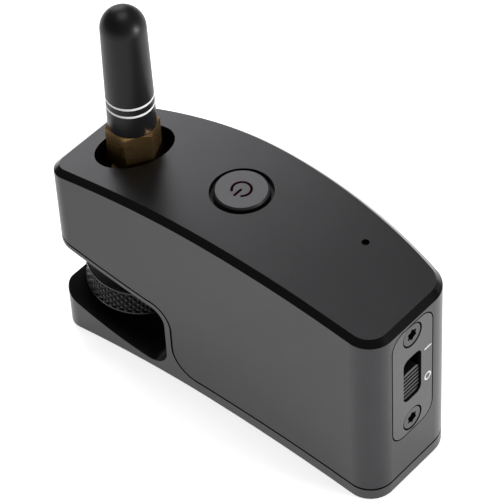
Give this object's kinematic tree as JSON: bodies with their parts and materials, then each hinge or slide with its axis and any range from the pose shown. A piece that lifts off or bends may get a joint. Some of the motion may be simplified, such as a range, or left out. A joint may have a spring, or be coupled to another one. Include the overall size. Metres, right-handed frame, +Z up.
{
  "type": "clip-on wireless instrument transmitter",
  "caption": "Curved aluminium clip-on wireless transmitter with a screw-clamp slot, stub antenna, round power button, slide switch and audio input jack.",
  "frame": {"origin": "centre of the bounding box, on the surface it stands on", "axes": "+X along the block from the antenna and clamp end to the switch end, +Y from the concave side to the convex side, +Z up along the antenna"},
  "size_m": [0.069, 0.0269, 0.0667],
  "materials": {
    "housing_black": "bead-blasted dark anodised, satin",
    "frame_grey": "bead-blasted dark anodised, satin",
    "panel_grey": "bead-blasted dark anodised, satin",
    "black_steel": "blackened steel",
    "switch_case": "plain steel can",
    "switch_knob": "ribbed black plastic",
    "button_black": "satin black",
    "icon_red": "dark red translucent",
    "seal_rubber": "matt black",
    "smoked_pipe": "smoked clear",
    "led_case": "white chip",
    "board_green": "solder mask",
    "plain_steel": "plain steel",
    "tact_case": "black plastic",
    "shield_tin": "tinned steel",
    "cell_foil": "foil pouch",
    "foam": "closed-cell foam",
    "jack_shell": "nickel nose on a black body",
    "port_shell": "plain steel",
    "wheel_black": "satin black knurled",
    "stud_steel": "dark steel",
    "brass_bush": "turned brass",
    "pad_rubber": "matt black",
    "socket_gold": "gold plated brass",
    "ptfe": "white",
    "nut_brass": "aged brass",
    "core_brass": "turned brass",
    "sleeve_rubber": "satin black",
    "ring_white": "white"
  },
  "bodies": {
    "block": {"housing": "housing_black", "clamp_frame": "frame_grey", "end_panel": "panel_grey", "panel_screws": "black_steel", "switch_body": "switch_case", "button_seal": "seal_rubber", "status_light_pipe": "smoked_pipe", "status_led": "led_case", "circuit_board": "board_green", "board_screws": "plain_steel", "tact_switch": "tact_case", "rf_shield": "shield_tin", "battery_cells": "cell_foil", "battery_foam": "foam", "input_jack": "jack_shell", "charge_port": "port_shell", "base_screws": "black_steel", "clamp_bush": "brass_bush", "antenna_socket": "socket_gold", "socket_insulator": "ptfe", "socket_washer": "socket_gold", "socket_lock_nut": "socket_gold"},
    "button": {"power_button": "button_black", "button_light_guide": "icon_red"},
    "switch_knob": {"switch_slider": "switch_knob"},
    "clamp_foot": {"pad_cup": "stud_steel", "clamp_pad": "pad_rubber"},
    "clamp_knob": {"clamp_wheel": "wheel_black", "clamp_screw": "stud_steel"},
    "antenna": {"antenna_sleeve": "sleeve_rubber", "antenna_rings": "ring_white", "antenna_core": "core_brass"},
    "antenna_coupling": {"antenna_nut": "nut_brass"}
  },
  "joints": [
    {"name": "button_press", "type": "slide", "parent": "block", "child": "button", "axis": [0, 0, -1], "range_m": [0, 0.00045], "stiffness_N_per_m": 400, "springref_m": -0.0003},
    {"name": "switch_slide", "type": "slide", "parent": "block", "child": "switch_knob", "axis": [0, 0, 1], "range_m": [0, 0.003]},
    {"name": "clamp_lift", "type": "slide", "parent": "block", "child": "clamp_foot", "axis": [0.0872, 0, 0.9962], "range_m": [-0.0002, 0.0025]},
    {"name": "wheel_spin", "type": "hinge", "parent": "clamp_foot", "child": "clamp_knob", "pos_m": [-0.02464, -0.00245, 0.01324], "axis": [0.0872, 0, 0.9962], "range_deg": [-91, 1126]},
    {"name": "antenna_lift", "type": "slide", "parent": "block", "child": "antenna", "axis": [0, 0, 1], "range_m": [0, 0.00423]},
    {"name": "nut_spin", "type": "hinge", "parent": "antenna", "child": "antenna_coupling", "pos_m": [-0.02483, -0.00137, 0.038], "axis": [0, 0, 1], "range_deg": [0, 2160]}
  ],
  "couplings": [
    {"joint": "wheel_spin", "follows": "clamp_lift", "rad_per_m": 7854},
    {"joint": "nut_spin", "follows": "antenna_lift", "rad_per_m": 8906}
  ]
}
